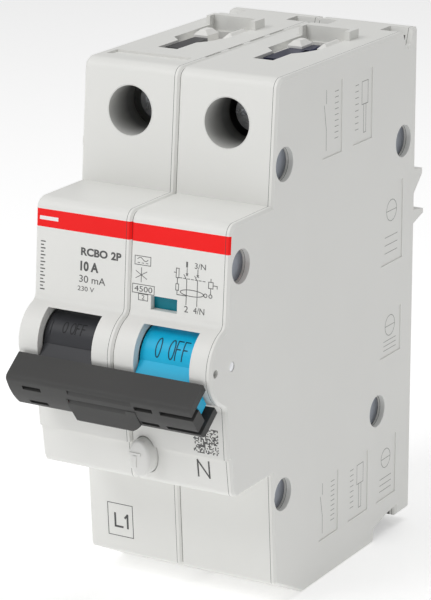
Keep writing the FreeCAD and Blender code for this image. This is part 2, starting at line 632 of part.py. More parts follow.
contact_pins = []
fixed_contacts = []
contact_springs = []
for index, (centre, low, high) in enumerate(((left_centre, "-half_width + wall", "-cover"),
                                             (right_centre, "wall", "half_width - cover"))):
    contact_pins.append(rod(f"contact_pin_{index}", "x", low, high, "hinge_y", "hinge_z", "hinge_pin"))
    fixed_contacts.append(block(f"fixed_contact_{index}", (f"{centre} - 2", f"{centre} + 2"),
                                ("fixed_face", "fixed_face + 1"), ("contact_z - 1.7", "contact_z + 2.1")))
    contact_springs.append(coil_spring(f"contact_spring_{index}", "z", "2.9", "8.9", centre,
                                       "hinge_y - 3.5", "1.5", "0.25", "1.1"))
keep(gathered("contact_pins", *contact_pins))
keep(gathered("fixed_contacts", *fixed_contacts))
keep(gathered("contact_springs", *contact_springs))

# ---- overcurrent trip, in the line pole ----------------------------------------------------

coil_x = left_centre
frame_block = block("yoke_block", (f"{coil_x} - 4.6", f"{coil_x} + 4.6"), ("yoke_front", "yoke_rear"),
                    ("coil_z - 5.7", "coil_z + 5.7"))
frame_gap = block("yoke_gap", (f"{coil_x} - 5", f"{coil_x} + 5"), ("yoke_front + strip", "yoke_rear - strip"),
                  ("coil_z - 4.5", "coil_z + 4.5"))
frame_hole = rod("yoke_hole", "y", "yoke_front - 1", "yoke_front + 2", coil_x, "coil_z", "1.0")
keep(carved("trip_yoke", frame_block, frame_gap, frame_hole))

spool = [rod("bobbin_tube", "y", "yoke_front + strip + 0.1", "yoke_rear - strip - 0.1", coil_x, "coil_z", "2.4"),
         rod("bobbin_front", "y", "yoke_front + strip + 0.1", "yoke_front + strip + 0.9", coil_x, "coil_z",
             "coil_radius + 0.1"),
         rod("bobbin_rear", "y", "yoke_rear - strip - 0.9", "yoke_rear - strip - 0.1", coil_x, "coil_z",
             "coil_radius + 0.1")]
spool_bore = rod("bobbin_bore", "y", "yoke_front", "yoke_rear", coil_x, "coil_z", "plunger + 0.25")
keep(carved("trip_bobbin", joined("bobbin_blank", *spool), spool_bore))

winding = rod("coil_blank", "y", "yoke_front + strip + 0.95", "yoke_rear - strip - 0.95", coil_x, "coil_z",
              "coil_radius")
winding_bore = rod("coil_bore", "y", "yoke_front", "yoke_rear", coil_x, "coil_z", "2.45")
keep(carved("trip_coil", winding, winding_bore))
core_blank = rod("core_blank", "y", "yoke_front + strip", "yoke_front + strip + 3.4", coil_x, "coil_z",
                 "plunger + 0.2")
core_bore = rod("core_bore", "y", "yoke_front", "yoke_rear", coil_x, "coil_z", "0.8")
keep(carved("trip_core", core_blank, core_bore))
keep(joined("trip_plunger",
            rod("plunger_pin", "y", "plunger_tip", "yoke_front + strip + 6", coil_x, "coil_z", "0.7"),
            rod("plunger_armature", "y", "yoke_front + strip + 5.3", "yoke_rear - strip - 0.3", coil_x,
                "coil_z", "plunger")))

trip_lever = new_body("trip_lever")
width = (f"{coil_x} - 1", f"{coil_x} + 1")
pad(trip_lever, "x", *width, [("trip_y - 0.8", "trip_z"), ("plunger_tip - 1.4", "coil_z - 1.5"),
                              ("plunger_tip - 0.25", "coil_z - 1.5"), ("trip_y + 1.2", "trip_z")])
pad(trip_lever, "x", *width, rectangle("trip_y", "-23.3", "trip_z - 0.8", "trip_z + 0.8"))
pad(trip_lever, "x", *width, ["circle", "trip_y", "trip_z", "1.8"])
pocket(trip_lever, "x", *width, ["circle", "trip_y", "trip_z", "0.85"])
keep(trip_lever)
keep(rod("trip_pin", "x", "-half_width + wall", "-cover", "trip_y", "trip_z", "0.8"))
keep(block("bimetal_strip", (f"{coil_x} - 2.2", f"{coil_x} + 2.2"), ("bar_y - 0.8", "bar_y"), ("4", "27")))
keep(block("line_strap", (f"{coil_x} - 1.8", f"{coil_x} + 1.8"), ("yoke_rear", "-9"), ("-8", "-8 + strip")))

# ---- arc quenching -------------------------------------------------------------------------

plate_pitch = 2
plates = []
for index in range(9):
    front = -33 + plate_pitch * index
    sheet = block(f"plate_{index}", (f"{coil_x} - 6", f"{coil_x} + 6"), (front, front + 0.8), ("-43.6", "-28"))
    mouth = block(f"plate_{index}_mouth", (f"{coil_x} - 1.6", f"{coil_x} + 1.6"), (front - 1, front + 2),
                  ("-34", "-27"))
    plates.append(carved(f"plate_{index}_cut", sheet, mouth))
keep(gathered("arc_plates", *plates))
cheeks = [block(f"cheek_{side}", (f"{coil_x} {low}", f"{coil_x} {high}"), ("-34.5", "-15.5"), ("-44.2", "-27"))
          for side, low, high in (("left", "- 6.8", "- 6.05"), ("right", "+ 6.05", "+ 6.8"))]
keep(gathered("arc_cheeks", *cheeks))
runner_leg = block("runner_leg", (f"{coil_x} - 3", f"{coil_x} + 3"), ("-40.2", "-39.2"), ("-45.5", "-26"))
runner_foot = block("runner_foot", (f"{coil_x} - 3", f"{coil_x} + 3"), ("-40.2", "-16"), ("-45.5", "-44.7"))
keep(joined("arc_runner", runner_leg, runner_foot))

# ---- residual current trip, in the neutral pole --------------------------------------------

ring_x = right_centre
ring = rod("ring_blank", "x", f"{ring_x} - 3", f"{ring_x} + 3", "ring_y", "ring_z", "ring_outer - 0.9")
ring_bore = rod("ring_bore", "x", f"{ring_x} - 4", f"{ring_x} + 4", "ring_y", "ring_z", "ring_inner + 0.9")
keep(carved("ring_core", ring, ring_bore))
wrap = rod("wrap_blank", "x", f"{ring_x} - 4", f"{ring_x} + 4", "ring_y", "ring_z", "ring_outer")
wrap_bore = rod("wrap_bore", "x", f"{ring_x} - 5", f"{ring_x} + 5", "ring_y", "ring_z", "ring_inner")
core_room = carved("core_room", rod("core_room_blank", "x", f"{ring_x} - 3.05", f"{ring_x} + 3.05",
                                    "ring_y", "ring_z", "ring_outer - 0.85"),
                   rod("core_room_bore", "x", f"{ring_x} - 4", f"{ring_x} + 4", "ring_y", "ring_z",
                       "ring_inner + 0.85"))
keep(carved("ring_winding", wrap, wrap_bore, core_room))
keep(gathered("primary_conductors",
              *[rod(f"conductor_{name}", "x", "wall + 0.6", "half_width - 2.4", "ring_y", f"ring_z {offset}", "1.1")
                for name, offset in (("line", "- 1.5"), ("neutral", "+ 1.5"))]))
keep(block("neutral_strap", (f"{ring_x} - 2.2", f"{ring_x} + 2.2"), ("bar_y - 0.8", "bar_y"), ("5", "27")))

relay_bore = rod("relay_bore", "y", "-38", "-29", ring_x, "12", "0.85")
keep(carved("trip_relay", block("relay_blank", ("3", "14.6"), ("-37", "-23.2"), ("6.5", "18")), relay_bore))
keep(rod("relay_pin", "y", "-39.6", "-29.4", ring_x, "12", "0.8"))
keep(block("circuit_board", ("2.2", "3.6"), ("-16.5", "-3"), ("-17", "18")))
resistors = [rod(f"resistor_{index}", "z", "-3", "3", "4.6", str(-14.5 + 2.6 * index), "0.9")
             for index in range(4)]
keep(gathered("board_parts", rod("capacitor", "x", "3.6", "11", "-9", "11", "3.2"),
              block("chip_low", ("3.6", "5.4"), ("-15", "-10.5"), ("-16", "-12.5")),
              block("chip_high", ("3.6", "4.9"), ("-15.5", "-11"), ("-10", "-5.5")), *resistors))

# ---- test button and fault flag ------------------------------------------------------------

button = new_body("test_button")
pad(button, "y", "button_front", "-61.8", ["ellipse", "button_x", "button_z", "button_half_x", "button_half_z"])
rim = edges_where(button.Shape, lambda e: all(abs(v.Point.y - number("button_front")) < 1e-4 for v in e.Vertexes))
dress(button, "Fillet", rim, "0.6")
pad(button, "y", "-61.85", "-60.9", rectangle("button_x - 1.9", "button_x + 2.4", "button_z - 3.4", "button_z + 3.4"))
pad(button, "y", "-61", "-58.4", ["circle", "button_x", "button_z", "0.9"])
keep(button)
keep(coil_spring("test_spring", "y", "-60.6", "-56.6", "button_x", "button_z", "1.4", "0.18", "0.9"))
keep(block("test_contact", ("1.4", "4.4"), ("-56.3", "-55.8"), ("-20.5", "-13")))
keep(rod("test_resistor", "x", "5", "12", "-54", "-19", "1.2"))
keep(block("fault_flag", ("flag_left - 0.6", "flag_right + 0.6"), ("-63.8", "-63.1"),
           ("flag_low - 0.8", "flag_high + 0.85")))

# ---- rear latch ----------------------------------------------------------------------------

slider = block("slider_plate", ("-6", "6"), ("-9", "1.8"), ("tab_low + 0.6", "slot_roof - 0.15"))
slider_slot = block("slider_slot", ("-3", "3"), ("-7.8", "-6"), ("-46", "-43"))
keep(carved("latch_slider", slider, slider_slot))

# ---- checks and files ---------------------------------------------------------------------

doc.recompute()
for item in doc.Objects:
    if "Invalid" in item.State or "Error" in item.State:
        raise RuntimeError(f"{item.Label}: {item.State}")
for piece in finished:
    if piece.Shape.isNull() or not piece.Shape.isValid() or not piece.Shape.Solids:
        raise RuntimeError(f"{piece.Label}: no valid solid")

os.makedirs("parts", exist_ok=True)
for piece in finished:
    piece.Shape.exportStep(f"parts/{piece.Label}.step")
    print(f"{piece.Label}: {len(piece.Shape.Solids)} solid, {piece.Shape.Volume:.1f} mm3")
print(f"{len(finished)} nodes")
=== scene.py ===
import json
import math

import bmesh
import bpy
import numpy as np
from mathutils import Matrix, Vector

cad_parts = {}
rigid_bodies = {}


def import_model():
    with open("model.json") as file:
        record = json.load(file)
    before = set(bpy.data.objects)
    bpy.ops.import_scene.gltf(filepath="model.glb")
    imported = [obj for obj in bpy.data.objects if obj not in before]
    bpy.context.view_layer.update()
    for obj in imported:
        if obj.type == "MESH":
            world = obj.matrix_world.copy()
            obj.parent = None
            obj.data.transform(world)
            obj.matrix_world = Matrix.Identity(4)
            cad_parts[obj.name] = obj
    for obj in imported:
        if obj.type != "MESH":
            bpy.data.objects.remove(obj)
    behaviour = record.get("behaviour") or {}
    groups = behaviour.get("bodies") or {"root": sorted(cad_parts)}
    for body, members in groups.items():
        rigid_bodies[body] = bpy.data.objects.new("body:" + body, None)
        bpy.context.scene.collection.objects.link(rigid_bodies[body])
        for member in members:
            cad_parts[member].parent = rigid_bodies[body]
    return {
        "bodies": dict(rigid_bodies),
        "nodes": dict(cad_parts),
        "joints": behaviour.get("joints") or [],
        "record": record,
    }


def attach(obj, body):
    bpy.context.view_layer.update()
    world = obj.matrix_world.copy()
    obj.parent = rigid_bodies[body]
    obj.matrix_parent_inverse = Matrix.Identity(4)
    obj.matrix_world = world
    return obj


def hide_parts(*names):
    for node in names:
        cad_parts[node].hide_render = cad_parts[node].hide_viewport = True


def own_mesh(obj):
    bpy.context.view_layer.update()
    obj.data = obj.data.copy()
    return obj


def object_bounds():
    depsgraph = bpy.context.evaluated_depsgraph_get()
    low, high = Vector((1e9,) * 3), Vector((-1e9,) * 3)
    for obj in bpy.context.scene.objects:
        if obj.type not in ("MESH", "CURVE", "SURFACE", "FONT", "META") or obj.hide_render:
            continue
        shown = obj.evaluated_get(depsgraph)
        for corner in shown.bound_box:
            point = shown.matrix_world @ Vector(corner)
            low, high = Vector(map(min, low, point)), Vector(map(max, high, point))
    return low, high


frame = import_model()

cadBox = [list(corner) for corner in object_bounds()]
nodes = frame["nodes"]
scene = bpy.context.scene
mm = 0.001
print("frame loaded:", len(nodes), "nodes")

# camera, light and floor: places, sizes and the gap in mm, turns in degrees, the floor's reach in m
studio = {
    "cameraPlace": (226.167, -426.301, 136.566),
    "cameraTurn": 30.21, "cameraTilt": 16.79, "cameraRoll": -0.10,
    "lens": 168.95, "sensor": 36, "nearest": 0.01,
    "floorColour": (0.93, 0.93, 0.93, 1), "floorRough": 0.9, "floorGlow": 0.34,
    "floorReach": 4, "floorGap": 0.05,
    "skyStrength": 0.35,
    "lamps": [
        # place, size, watts, point aimed at
        ((-260, -520, 560), 420, 1.9, (0, -40, 0)),
        ((60, 60, 640), 520, 1.3, (0, -30, 0)),
        ((-380, -620, 130), 380, 0.35, (0, -40, 0)),
    ],
}


def aim(place, target):
    direction = np.subtract(target, place)
    direction = direction / np.linalg.norm(direction)
    side = np.cross(direction, (0, 0, 1))
    side = side / np.linalg.norm(side)
    up = np.cross(side, direction)
    turn = Matrix([[side[k], up[k], -direction[k]] for k in range(3)]).to_4x4()
    return Matrix.Translation([value * mm for value in place]) @ turn


def makeCamera():
    camera = bpy.data.objects.new("camera", bpy.data.cameras.new("camera"))
    turn = (Matrix.Rotation(math.radians(studio["cameraTurn"]), 4, "Z")
            @ Matrix.Rotation(math.radians(90 - studio["cameraTilt"]), 4, "X")
            @ Matrix.Rotation(math.radians(studio["cameraRoll"]), 4, "Z"))
    camera.matrix_world = Matrix.Translation([v * mm for v in studio["cameraPlace"]]) @ turn
    camera.data.lens = studio["lens"]
    camera.data.sensor_width = studio["sensor"]
    camera.data.clip_start = studio["nearest"]
    scene.collection.objects.link(camera)
    scene.camera = camera


def makeLamps():
    for index, (place, size, watts, target) in enumerate(studio["lamps"]):
        lamp = bpy.data.lights.new(f"softbox{index}", "AREA")
        lamp.shape = "DISK"
        lamp.size = size * mm
        lamp.energy = watts
        box = bpy.data.objects.new(f"softbox{index}", lamp)
        box.matrix_world = aim(place, target)
        scene.collection.objects.link(box)


def makeFloor():
    level = cadBox[0][2] - studio["floorGap"] * mm  # just clear of the base, so the two don't share a plane
    reach = studio["floorReach"]
    corners = [(-reach, -reach, level), (reach, -reach, level), (reach, reach, level), (-reach, reach, level)]
    mesh = bpy.data.meshes.new("floor")
    mesh.from_pydata(corners, [], [(0, 1, 2, 3)])
    floor = bpy.data.objects.new("floor", mesh)
    scene.collection.objects.link(floor)
    paint = bpy.data.materials.new("floorPaint")
    paint.use_nodes = True
    shader = paint.node_tree.nodes["Principled BSDF"]
    shader.inputs["Base Color"].default_value = studio["floorColour"]
    shader.inputs["Roughness"].default_value = studio["floorRough"]
    shader.inputs["Emission Color"].default_value = (1, 1, 1, 1)
    shader.inputs["Emission Strength"].default_value = studio["floorGlow"]
    mesh.materials.append(paint)


def makeSky():
    world = bpy.data.worlds.new("sky")
    world.use_nodes = True
    light = world.node_tree.nodes["Background"]
    light.inputs["Color"].default_value = (1, 1, 1, 1)
    light.inputs["Strength"].default_value = studio["skyStrength"]
    scene.world = world


makeCamera()
makeLamps()
makeFloor()
makeSky()
scene.view_settings.view_transform = "Standard"
scene.view_settings.look = "None"
print("studio ready")


def newFinish(name):
    finish = bpy.data.materials.new(name)
    finish.use_nodes = True
    tree = finish.node_tree
    shader = tree.nodes["Principled BSDF"]
    place = tree.nodes.new("ShaderNodeTexCoord")
    return finish, tree, shader, place.outputs["Object"]


def addNoise(tree, place, scale, detail=3, stretch=(1, 1, 1)):
    mapping = tree.nodes.new("ShaderNodeMapping")
    mapping.inputs["Scale"].default_value = stretch
    tree.links.new(place, mapping.inputs["Vector"])
    noise = tree.nodes.new("ShaderNodeTexNoise")
    noise.inputs["Scale"].default_value = scale
    noise.inputs["Detail"].default_value = detail
    tree.links.new(mapping.outputs["Vector"], noise.inputs["Vector"])
    return noise.outputs["Fac"]


def ramp(tree, value, stops):
    # colours at places from 0 to 1, read along a value
    node = tree.nodes.new("ShaderNodeValToRGB")
    elements = node.color_ramp.elements
    elements[0].position, elements[0].color = stops[0][0], (*stops[0][1], 1)
    elements[1].position, elements[1].color = stops[-1][0], (*stops[-1][1], 1)
    for spot, colour in stops[1:-1]:
        elements.new(spot).color = (*colour, 1)
    tree.links.new(value, node.inputs["Fac"])
    return node.outputs["Color"]


def calculate(tree, operation, first, second=None):
    node = tree.nodes.new("ShaderNodeMath")
    node.operation = operation
    for socket, value in zip(node.inputs, (first, second)):
        if value is None:
            continue
        if isinstance(value, (int, float)):
            socket.default_value = value
        else:
            tree.links.new(value, socket)
    return node.outputs["Value"]


def addBump(tree, shader, height, strength, distance):
    bump = tree.nodes.new("ShaderNodeBump")
    bump.inputs["Strength"].default_value = strength
    bump.inputs["Distance"].default_value = distance
    tree.links.new(height, bump.inputs["Height"])
    tree.links.new(bump.outputs["Normal"], shader.inputs["Normal"])


def between(tree, value, low, high):
    above = calculate(tree, "GREATER_THAN", value, low)
    below = calculate(tree, "LESS_THAN", value, high)
    return calculate(tree, "MULTIPLY", above, below)


def shade(colour, factor):
    return tuple(min(1.0, channel * factor) for channel in colour)


def blend(tree, amount, first, second):
    # the first tone where the amount is 0, the second, a link or a colour, where it is 1
    mix = tree.nodes.new("ShaderNodeMix")
    mix.data_type = "RGBA"
    tree.links.new(amount, mix.inputs["Factor"])
    tree.links.new(first, mix.inputs["A"])
    if isinstance(second, tuple):
        mix.inputs["B"].default_value = (*second, 1)
    else:
        tree.links.new(second, mix.inputs["B"])
    return mix.outputs["Result"]


def withBand(tree, split, tone, drift, band):
    # ink between two heights on the front only, then the thin joint lines between the mouldings
    inBand = between(tree, split.outputs["Z"], band["low"] * mm, band["high"] * mm)
    inFront = calculate(tree, "LESS_THAN", split.outputs["Y"], band["front"] * mm)
    inWidth = between(tree, split.outputs["X"], -band["halfWidth"] * mm, band["halfWidth"] * mm)
    mask = calculate(tree, "MULTIPLY", calculate(tree, "MULTIPLY", inBand, inFront), inWidth)
    dull, bright = band["drift"]
    ink = ramp(tree, drift, [(0.3, shade(band["colour"], dull)), (0.7, shade(band["colour"], bright))])
    tone = blend(tree, mask, tone, ink)
    seam = None
    for across in band["seams"]:
        near, far = ((across + side * band["seamHalf"]) * mm for side in (-1, 1))
        line = between(tree, split.outputs["X"], near, far)
        seam = line if seam is None else calculate(tree, "MAXIMUM", seam, line)
    return blend(tree, calculate(tree, "MULTIPLY", seam, band["seamShare"]), tone, band["seamColour"])


def paintedShadeWithin(tree, split, tone, inside):
    # painted shade on the inner walls and in the screw tunnels: the tone falls to a part of itself inside the
    # shell and, within a tunnel's radius of either screw's axis, with the depth behind the front
    low, high = inside["low"], inside["high"]
    masks = [between(tree, split.outputs[axis], low[k] * mm, high[k] * mm) for k, axis in enumerate("XYZ")]
    shell = calculate(tree, "MULTIPLY", calculate(tree, "MULTIPLY", masks[0], masks[1]), masks[2])
    sideways = calculate(tree, "ABSOLUTE", split.outputs["X"])
    across = calculate(tree, "SUBTRACT", sideways, inside["axis"][0] * mm)
    upward = calculate(tree, "SUBTRACT", split.outputs["Z"], inside["axis"][1] * mm)
    reach = calculate(tree, "SQRT", calculate(tree, "ADD", calculate(tree, "MULTIPLY", across, across),
                                              calculate(tree, "MULTIPLY", upward, upward)))
    near = calculate(tree, "LESS_THAN", reach, inside["radius"] * mm)
    depth = tree.nodes.new("ShaderNodeMapRange")
    depth.inputs["From Min"].default_value = inside["mouth"] * mm
    depth.inputs["From Max"].default_value = inside["end"] * mm
    tree.links.new(split.outputs["Y"], depth.inputs["Value"])
    inTunnel = calculate(tree, "LESS_THAN", split.outputs["Y"], high[1] * mm)
    tunnel = calculate(tree, "MULTIPLY", calculate(tree, "MULTIPLY", near, inTunnel), depth.outputs["Result"])
    amount = calculate(tree, "MULTIPLY", calculate(tree, "MAXIMUM", shell, tunnel), 1 - inside["part"])
    return blend(tree, amount, tone, inside["colour"])


def varyRoughness(tree, shader, value, low, high):
    roughness = tree.nodes.new("ShaderNodeMapRange")
    roughness.inputs["To Min"].default_value = low
    roughness.inputs["To Max"].default_value = high
    tree.links.new(value, roughness.inputs["Value"])
    tree.links.new(roughness.outputs["Result"], shader.inputs["Roughness"])


# what all mouldings share: noise scales are per metre, the bump's depth is in metres
plasticLook = {"gloss": 0.28, "driftScale": 45, "grainScale": 2600, "roughScale": 300, "roughSpread": 0.06,
               "grainDepth": 0.00002}


def mouldedPlastic(name, colour, rough=0.42, grain=0.10, spread=0.025, band=None, inside=None):
    # moulded plastic: a slow drift of tone, and a fine spark-eroded grain
    finish, tree, shader, place = newFinish(name)
    shader.inputs["Specular IOR Level"].default_value = plasticLook["gloss"]
    drift = addNoise(tree, place, plasticLook["driftScale"], 2)
    tone = ramp(tree, drift, [(0.3, shade(colour, 1 - spread)), (0.7, shade(colour, 1 + spread))])
    if band:
        split = tree.nodes.new("ShaderNodeSeparateXYZ")
        tree.links.new(place, split.inputs["Vector"])
        tone = withBand(tree, split, tone, drift, band)
        # painted shade inside the shell and down the screw tunnels
        tone = paintedShadeWithin(tree, split, tone, inside)
    tree.links.new(tone, shader.inputs["Base Color"])
    varyRoughness(tree, shader, addNoise(tree, place, plasticLook["roughScale"], 3),
                  rough - plasticLook["roughSpread"], rough + plasticLook["roughSpread"])
    texture = addNoise(tree, place, plasticLook["grainScale"], 2)
    addBump(tree, shader, texture, grain, plasticLook["grainDepth"])
    return finish


metalLook = {"cloudScale": 160, "lineScale": 900, "smoother": 0.1, "rougher": 0.12, "scratch": 0.12,
             "scratchDepth": 0.00003}


def platedMetal(name, colour, rough=0.3, stretch=(1, 1, 1), spread=0.10):
    # plated or rolled metal: cloudy tone, fine scratches along the way it was drawn
    finish, tree, shader, place = newFinish(name)
    shader.inputs["Metallic"].default_value = 1.0
    clouds = addNoise(tree, place, metalLook["cloudScale"], 4)
    tone = ramp(tree, clouds, [(0.25, shade(colour, 1 - spread)), (0.75, shade(colour, 1 + spread))])
    tree.links.new(tone, shader.inputs["Base Color"])
    lines = addNoise(tree, place, metalLook["lineScale"], 4, stretch)
    varyRoughness(tree, shader, lines, rough - metalLook["smoother"], rough + metalLook["rougher"])
    addBump(tree, shader, lines, metalLook["scratch"], metalLook["scratchDepth"])
    return finish


def windingWire(name, colour, axis, pitch):
    # enamelled wire laid side by side: ridges across an axis, with painted shade in the valleys and a painted
    # highlight on the crests
    finish, tree, shader, place = newFinish(name)
    shader.inputs["Metallic"].default_value = 0.85
    shader.inputs["Roughness"].default_value = 0.32
    split = tree.nodes.new("ShaderNodeSeparateXYZ")
    tree.links.new(place, split.inputs["Vector"])
    phase = calculate(tree, "MULTIPLY", split.outputs[axis], math.pi / (pitch * mm))
    ridge = calculate(tree, "ABSOLUTE", calculate(tree, "SINE", phase))
    tone = ramp(tree, ridge, [(0.05, shade(colour, 0.25)), (0.45, colour), (1.0, shade(colour, 1.15))])
    tree.links.new(tone, shader.inputs["Base Color"])
    addBump(tree, shader, ridge, 0.8, 0.00015)
    return finish


def circuitBoard(name, colour, track):
    # solder resist over copper tracks: a wandering net of paler lines
    finish, tree, shader, place = newFinish(name)
    shader.inputs["Roughness"].default_value = 0.28
    cells = tree.nodes.new("ShaderNodeTexVoronoi")
    cells.feature = "DISTANCE_TO_EDGE"
    cells.inputs["Scale"].default_value = 420
    tree.links.new(place, cells.inputs["Vector"])
    tone = ramp(tree, cells.outputs["Distance"], [(0.03, track), (0.07, colour), (1.0, shade(colour, 1.1))])
    tree.links.new(tone, shader.inputs["Base Color"])
    addBump(tree, shader, cells.outputs["Distance"], 0.15, 0.00003)
    return finish


# the printed band across the nose, and the joint lines between the mouldings, in mm
redBand = {"low": 17.67, "high": 20.58, "front": -60, "halfWidth": 17.92, "colour": (0.93, 0.0, 0.0),
           "drift": (0.96, 1.03), "seams": (-0.9, 0.0, 17.1), "seamHalf": 0.045, "seamShare": 0.8,
           "seamColour": (0.05, 0.05, 0.048)}
# painted shade in the room inside the shell and in the two screw tunnels: their limits in mm,
# and the part of the tone that stays there
caseInsideShade = {"low": (-16.7, -41.85, -45.4), "high": (16.7, -1.9, 41.2), "part": 0.17,
              "colour": (0.01, 0.01, 0.01), "axis": (9, 34.64), "radius": 4.3, "mouth": -50.4, "end": -44}
finishes = {
    "casing": mouldedPlastic("casingPlastic", (0.80, 0.80, 0.775), 0.40, 0.10, 0.012, redBand, caseInsideShade),
    "guide": mouldedPlastic("guidePlastic", (0.84, 0.835, 0.81), 0.42),
    "charcoal": mouldedPlastic("charcoalPlastic", (0.032, 0.033, 0.038), 0.36, 0.14, 0.06),
    "cyan": mouldedPlastic("cyanPlastic", (0.0, 0.47, 0.76), 0.38, 0.08, 0.03),
    "barGrey": mouldedPlastic("barPlastic", (0.058, 0.058, 0.057), 0.55, 0.18, 0.06),
    "button": mouldedPlastic("buttonPlastic", (0.76, 0.76, 0.74), 0.40, 0.08, 0.02),
    "teal": mouldedPlastic("flagPlastic", (0.0, 0.20, 0.27), 0.4, 0.08, 0.03),
    "black": mouldedPlastic("carrierPlastic", (0.022, 0.022, 0.023), 0.45, 0.2, 0.1),
    "fibre": mouldedPlastic("fibreSheet", (0.28, 0.18, 0.10), 0.7, 0.4, 0.15),
    "rivet": platedMetal("rivetSteel", (0.30, 0.32, 0.36), 0.42),
    "zinc": platedMetal("zincPlate", (0.74, 0.75, 0.77), 0.28),
    "steel": platedMetal("stampedSteel", (0.50, 0.51, 0.52), 0.34, (1, 8, 1)),
    "darkSteel": platedMetal("blackenedSteel", (0.16, 0.16, 0.165), 0.5, (1, 8, 1)),
    # a dark navy copy of the steel: painted shade on the right terminal cage and wire stop, which stand in
    # shadow; the ring core wears it too
    "navy": platedMetal("navyShadeAndCoreMetal", (0.06, 0.065, 0.13), 0.34, (1, 8, 1)),
    "spring": platedMetal("springWire", (0.62, 0.62, 0.64), 0.25),
    "tin": platedMetal("tinPlate", (0.72, 0.70, 0.66), 0.3, (1, 1, 6)),
    "copper": platedMetal("copperStrip", (0.80, 0.42, 0.26), 0.3, (1, 6, 1)),
    "silver": platedMetal("contactSilver", (0.82, 0.82, 0.80), 0.35),
    "coil": windingWire("coilWire", (0.70, 0.30, 0.14), "Y", 0.5),
    "ringCoil": windingWire("ringWire", (0.62, 0.26, 0.12), "Z", 0.45),
    "board": circuitBoard("boardResist", (0.02, 0.16, 0.07), (0.10, 0.34, 0.14)),
    "ink": mouldedPlastic("printedInk", (0.105, 0.105, 0.105), 0.5, 0.05, 0.06),
    "darkRelief": mouldedPlastic("darkRelief", (0.012, 0.012, 0.014), 0.5, 0.05, 0.06),
    "whiteInk": mouldedPlastic("whiteInk", (0.88, 0.87, 0.86), 0.5, 0.05, 0.02),
    "engraved": mouldedPlastic("engravedLine", (0.26, 0.26, 0.25), 0.5, 0.05, 0.05),
    "blueMark": mouldedPlastic("blueToggleMark", (0.004, 0.055, 0.10), 0.45, 0.05, 0.05),
}
wears = {
    "casing": ["left_case", "left_cover", "right_case", "right_cover"],
    "guide": ["left_wire_guide", "right_wire_guide", "trip_lever", "relay_pin"],
    "charcoal": ["line_toggle"],
    "cyan": ["neutral_toggle", "primary_conductors"],
    "barGrey": ["tie_bar"],
    "button": ["test_button", "latch_slider"],
    "teal": ["fault_flag"],
    "black": ["line_contact_carrier", "neutral_contact_carrier", "trip_bobbin", "trip_relay", "board_parts"],
    "fibre": ["arc_cheeks", "test_resistor"],
    "rivet": ["rivets"],
    "darkSteel": ["left_wire_stop"],
    "zinc": ["left_terminal_screw", "right_terminal_screw", "toggle_pin", "contact_pins", "trip_pin",
             "trip_plunger"],
    "steel": ["left_terminal_cage", "trip_yoke", "trip_core", "arc_plates"],
    # the right terminal cage and wire stop take the navy copy as painted shade
    "navy": ["right_terminal_cage", "right_wire_stop", "ring_core"],
    "spring": ["toggle_springs", "contact_springs", "test_spring", "line_link", "neutral_link"],
    "tin": ["terminal_bars", "line_plug_contact", "neutral_plug_contact", "bimetal_strip"],
    "copper": ["line_contact_arm", "neutral_contact_arm", "line_contact_bracket", "neutral_contact_bracket",
               "line_strap", "neutral_strap", "arc_runner"],
    "silver": ["line_moving_contact", "neutral_moving_contact", "fixed_contacts", "test_contact"],
    "coil": ["trip_coil"],
    "ringCoil": ["ring_winding"],
    "board": ["circuit_board"],
}


def paint(piece, finish):
    piece.data.materials.clear()
    piece.data.materials.append(finish)
    piece.data.polygons.foreach_set("material_index", np.zeros(len(piece.data.polygons), dtype=np.int32))


dressed = set()
for key, names in wears.items():
    for name in names:
        paint(nodes[name], finishes[key])
        dressed.add(name)
missing = sorted(set(nodes) - dressed)
if missing:
    raise RuntimeError(f"no finish for {missing}")
print("finishes on", len(dressed), "nodes")

# prints and relief marks sit on the casing's own front surface
frontShape = {
    # heights and the front level at each, in mm, from below to above
    "heights": (-42.35, -22.81, -22.8, -16.01, -16.0, -8.0, 7.0, 22.3, 22.31, 42.44),
    "levels": (-49.2, -50.4, -63.1, -64.05, -64.6, -65.3, -65.05, -63.85, -50.76, -49.0),
}
drumShape = {"y": -63.7, "z": -0.5, "radius": 4.9}
rightSide = 18
printHeight = 0.02  # a print stands this far out of the surface, and reaches as far into it


def frontLevel(height):
    return np.interp(height, frontShape["heights"], frontShape["levels"])


def onFront(points):
    # across, up and outwards become x, z and the front level less the height of the print
    flat = np.asarray(points)
    return np.stack([flat[:, 0], frontLevel(flat[:, 1]) - flat[:, 2], flat[:, 1]], axis=1)


def onDrum(points):
    # across stays x; the up value is a length round the drum from its front line, so its angle is
    # length / radius, and outwards adds to the radius
    flat = np.asarray(points)
    angle = flat[:, 1] / drumShape["radius"]
    reach = drumShape["radius"] + flat[:, 2]
    return np.stack([flat[:, 0], drumShape["y"] - reach * np.cos(angle),
                     drumShape["z"] + reach * np.sin(angle)], axis=1)


def onSide(points):
    # the right side: across runs towards the rear, up stays up, outwards is +x
    flat = np.asarray(points)
    return np.stack([rightSide + flat[:, 2], flat[:, 0], flat[:, 1]], axis=1)


def addPiece(name, points, faces, finish, body):
    mesh = bpy.data.meshes.new(name)
    mesh.from_pydata((np.asarray(points) * mm).tolist(), [], faces)
    mesh.materials.append(finish)
    shell = bmesh.new()
    shell.from_mesh(mesh)
    bmesh.ops.recalc_face_normals(shell, faces=shell.faces)
    shell.to_mesh(mesh)
    shell.free()
    piece = bpy.data.objects.new(name, mesh)
    scene.collection.objects.link(piece)
    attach(piece, body)
    return piece


